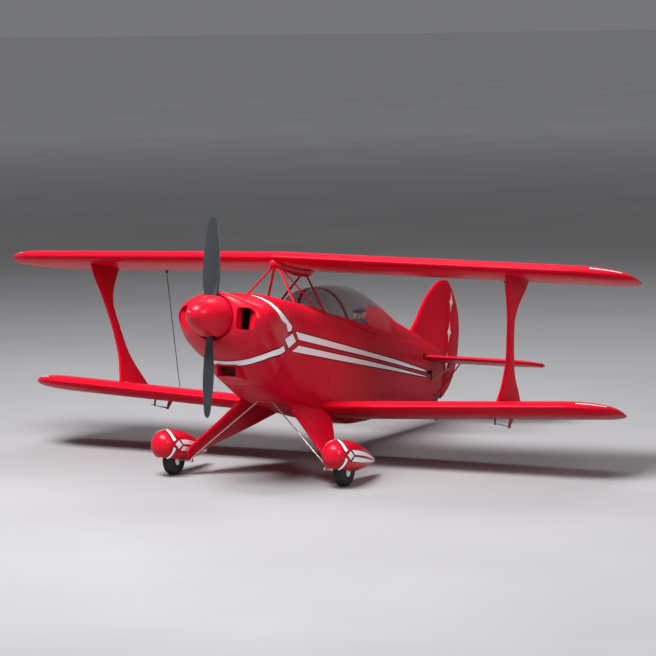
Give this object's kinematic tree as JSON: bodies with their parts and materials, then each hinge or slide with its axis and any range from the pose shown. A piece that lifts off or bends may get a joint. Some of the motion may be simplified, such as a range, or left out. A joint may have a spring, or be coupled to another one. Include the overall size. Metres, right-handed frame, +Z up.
{
  "type": "rc biplane",
  "caption": "Electric model biplane of moulded foam with fixed gear in spats, a cowled motor and propeller, ailerons on both wings, elevator, rudder and a removable canopy hatch.",
  "frame": {"origin": "centre of the object's box in plan, on the ground plane that its three wheels stand on", "axes": "+Z up; -Y the way the nose points; +X towards the left (port) wing tip"},
  "size_m": [1.394, 1.2184, 0.5318],
  "materials": {
    "painted_foam": "satin red paint over moulded foam",
    "red_plastic": "glossy red moulded plastic",
    "tinted_glazing": "clear grey tint",
    "blade_plastic": "satin dark grey",
    "black_plastic": "satin black",
    "steel": "bright drawn wire",
    "motor_steel": "dark anodised",
    "motor_core": "machined",
    "white_plastic": "satin white",
    "tyre_foam": "matt black",
    "figure": "matt",
    "battery_wrap": "shrink wrap"
  },
  "bodies": {
    "airframe": {"fuselage": "painted_foam", "cowl": "red_plastic", "motor_stator": "motor_core", "upper_wing_left": "painted_foam", "upper_wing_right": "painted_foam", "wing_center_fairing": "red_plastic", "lower_wing_left": "painted_foam", "lower_wing_right": "painted_foam", "cabane_strut_left": "red_plastic", "cabane_strut_right": "red_plastic", "interplane_strut_left": "painted_foam", "interplane_strut_right": "painted_foam", "gear_leg_left": "painted_foam", "gear_leg_right": "painted_foam", "axle_left": "steel", "axle_right": "steel", "gear_brace_left": "steel", "gear_brace_right": "steel", "wheel_pant_left": "red_plastic", "wheel_pant_right": "red_plastic", "stabilizer": "painted_foam", "tail_brace_left": "red_plastic", "tail_brace_right": "red_plastic", "tailwheel_bracket": "black_plastic", "battery": "battery_wrap", "speed_controller": "black_plastic", "receiver": "black_plastic", "aileron_servo_left": "black_plastic", "aileron_servo_right": "black_plastic", "elevator_servo": "black_plastic", "rudder_servo": "black_plastic"},
    "propeller": {"motor_can": "motor_steel", "spinner_backplate": "red_plastic", "propeller": "blade_plastic", "spinner_cone": "red_plastic"},
    "canopy_hatch": {"canopy_hatch": "painted_foam", "canopy_glass": "tinted_glazing", "pilot": "figure"},
    "aileron_lower_left": {"aileron_lower_left": "painted_foam"},
    "aileron_upper_left": {"aileron_upper_left": "painted_foam"},
    "aileron_servo_arm_left": {"aileron_servo_arm_left": "black_plastic"},
    "aileron_pushrod_left": {"aileron_pushrod_left": "steel"},
    "slave_rod_left": {"aileron_slave_rod_left": "white_plastic"},
    "wheel_left": {"wheel_hub_left": "white_plastic", "tyre_left": "tyre_foam"},
    "aileron_lower_right": {"aileron_lower_right": "painted_foam"},
    "aileron_upper_right": {"aileron_upper_right": "painted_foam"},
    "aileron_servo_arm_right": {"aileron_servo_arm_right": "black_plastic"},
    "aileron_pushrod_right": {"aileron_pushrod_right": "steel"},
    "slave_rod_right": {"aileron_slave_rod_right": "white_plastic"},
    "wheel_right": {"wheel_hub_right": "white_plastic", "tyre_right": "tyre_foam"},
    "elevator": {"elevator": "painted_foam"},
    "elevator_servo_arm": {"elevator_servo_arm": "black_plastic"},
    "elevator_pushrod": {"elevator_pushrod": "steel"},
    "rudder": {"rudder": "painted_foam"},
    "rudder_servo_arm": {"rudder_servo_arm": "black_plastic"},
    "rudder_pushrod": {"rudder_pushrod": "steel"},
    "tailwheel_fork": {"tailwheel_fork": "steel"},
    "tailwheel": {"tailwheel": "tyre_foam"}
  },
  "joints": [
    {"name": "propeller_spin", "type": "hinge", "parent": "airframe", "child": "propeller", "pos_m": [0, -0.54447, 0.34354], "axis": [0, 0.9792, -0.2028], "continuous": true},
    {"name": "aileron_lower_left_hinge", "type": "hinge", "parent": "airframe", "child": "aileron_lower_left", "pos_m": [0.438, -0.02745, 0.10207], "axis": [0.9989, 0.0096, 0.0461], "range_deg": [-20, 20]},
    {"name": "aileron_upper_left_hinge", "type": "hinge", "parent": "airframe", "child": "aileron_upper_left", "pos_m": [0.45, -0.07042, 0.38363], "axis": [0.9937, 0.1077, -0.0294], "range_deg": [-20, 20]},
    {"name": "aileron_servo_arm_left_turn", "type": "hinge", "parent": "airframe", "child": "aileron_servo_arm_left", "pos_m": [0.391, -0.08744, 0.11442], "axis": [0.9989, 0.0096, 0.0461], "range_deg": [-21, 21]},
    {"name": "aileron_pushrod_left_pivot", "type": "hinge", "parent": "aileron_servo_arm_left", "child": "aileron_pushrod_left", "pos_m": [0.398, -0.09183, 0.0932], "axis": [0.9989, 0.0096, 0.0461], "range_deg": [-21, 21]},
    {"name": "slave_rod_left_pivot", "type": "hinge", "parent": "aileron_lower_left", "child": "slave_rod_left", "pos_m": [0.39, 0.01649, 0.09727], "axis": [0.9989, 0.0096, 0.0461], "range_deg": [-24, 24]},
    {"name": "aileron_lower_right_hinge", "type": "hinge", "parent": "airframe", "child": "aileron_lower_right", "pos_m": [-0.438, -0.02745, 0.10207], "axis": [0.9989, -0.0096, -0.0461], "range_deg": [-20, 20]},
    {"name": "aileron_upper_right_hinge", "type": "hinge", "parent": "airframe", "child": "aileron_upper_right", "pos_m": [-0.45, -0.07042, 0.38363], "axis": [0.9937, -0.1077, 0.0294], "range_deg": [-20, 20]},
    {"name": "aileron_servo_arm_right_turn", "type": "hinge", "parent": "airframe", "child": "aileron_servo_arm_right", "pos_m": [-0.391, -0.08744, 0.11442], "axis": [0.9989, -0.0096, -0.0461], "range_deg": [-21, 21]},
    {"name": "aileron_pushrod_right_pivot", "type": "hinge", "parent": "aileron_servo_arm_right", "child": "aileron_pushrod_right", "pos_m": [-0.398, -0.09183, 0.0932], "axis": [0.9989, -0.0096, -0.0461], "range_deg": [-21, 21]},
    {"name": "slave_rod_right_pivot", "type": "hinge", "parent": "aileron_lower_right", "child": "slave_rod_right", "pos_m": [-0.39, 0.01649, 0.09727], "axis": [0.9989, -0.0096, -0.0461], "range_deg": [-24, 24]},
    {"name": "elevator_hinge", "type": "hinge", "parent": "airframe", "child": "elevator", "pos_m": [0, 0.49627, 0.1321], "axis": [1, 0, 0], "range_deg": [-25, 25]},
    {"name": "elevator_servo_arm_turn", "type": "hinge", "parent": "airframe", "child": "elevator_servo_arm", "pos_m": [0.023, 0.40949, 0.11739], "axis": [1, 0, 0], "range_deg": [-26, 26]},
    {"name": "elevator_pushrod_pivot", "type": "hinge", "parent": "elevator_servo_arm", "child": "elevator_pushrod", "pos_m": [0.0266, 0.40624, 0.10172], "axis": [1, 0, 0], "range_deg": [-26, 26]},
    {"name": "rudder_hinge", "type": "hinge", "parent": "airframe", "child": "rudder", "pos_m": [0, 0.52058, 0.17404], "axis": [0, 0.2028, 0.9792], "range_deg": [-30, 30]},
    {"name": "rudder_servo_arm_turn", "type": "hinge", "parent": "airframe", "child": "rudder_servo_arm", "pos_m": [-0.014, 0.36316, 0.11065], "axis": [0, 0.2028, 0.9792], "range_deg": [-31, 31]},
    {"name": "rudder_pushrod_pivot", "type": "hinge", "parent": "rudder_servo_arm", "child": "rudder_pushrod", "pos_m": [-0.03, 0.36385, 0.11398], "axis": [0, 0.2028, 0.9792], "range_deg": [-31, 31]},
    {"name": "tailwheel_steering", "type": "hinge", "parent": "airframe", "child": "tailwheel_fork", "pos_m": [0, 0.47917, 0.03965], "axis": [0, 0.2028, 0.9792], "range_deg": [-31, 31]},
    {"name": "tailwheel_spin", "type": "hinge", "parent": "tailwheel_fork", "child": "tailwheel", "pos_m": [0, 0.48182, 0.01299], "axis": [1, 0, 0], "continuous": true},
    {"name": "wheel_left_spin", "type": "hinge", "parent": "airframe", "child": "wheel_left", "pos_m": [0.19, -0.36431, 0.02999], "axis": [1, 0, 0], "continuous": true},
    {"name": "wheel_right_spin", "type": "hinge", "parent": "airframe", "child": "wheel_right", "pos_m": [-0.19, -0.36431, 0.02999], "axis": [1, 0, 0], "continuous": true},
    {"name": "canopy_hatch_slide", "type": "slide", "parent": "airframe", "child": "canopy_hatch", "axis": [0, 0.9685, 0.2489], "range_m": [0, 0.16]}
  ],
  "couplings": [
    {"joint": "aileron_upper_left_hinge", "follows": "aileron_lower_left_hinge", "ratio": 1},
    {"joint": "aileron_servo_arm_left_turn", "follows": "aileron_lower_left_hinge", "ratio": 1},
    {"joint": "aileron_pushrod_left_pivot", "follows": "aileron_lower_left_hinge", "ratio": -1},
    {"joint": "slave_rod_left_pivot", "follows": "aileron_lower_left_hinge", "ratio": -1.0584},
    {"joint": "aileron_lower_right_hinge", "follows": "aileron_lower_left_hinge", "ratio": -1},
    {"joint": "aileron_upper_right_hinge", "follows": "aileron_lower_left_hinge", "ratio": -1},
    {"joint": "aileron_servo_arm_right_turn", "follows": "aileron_lower_left_hinge", "ratio": -1},
    {"joint": "aileron_pushrod_right_pivot", "follows": "aileron_lower_left_hinge", "ratio": 1},
    {"joint": "slave_rod_right_pivot", "follows": "aileron_lower_left_hinge", "ratio": 1.0584},
    {"joint": "elevator_servo_arm_turn", "follows": "elevator_hinge", "ratio": 1},
    {"joint": "elevator_pushrod_pivot", "follows": "elevator_hinge", "ratio": -1},
    {"joint": "rudder_servo_arm_turn", "follows": "rudder_hinge", "ratio": 1},
    {"joint": "rudder_pushrod_pivot", "follows": "rudder_hinge", "ratio": -1},
    {"joint": "tailwheel_steering", "follows": "rudder_hinge", "ratio": 1}
  ]
}
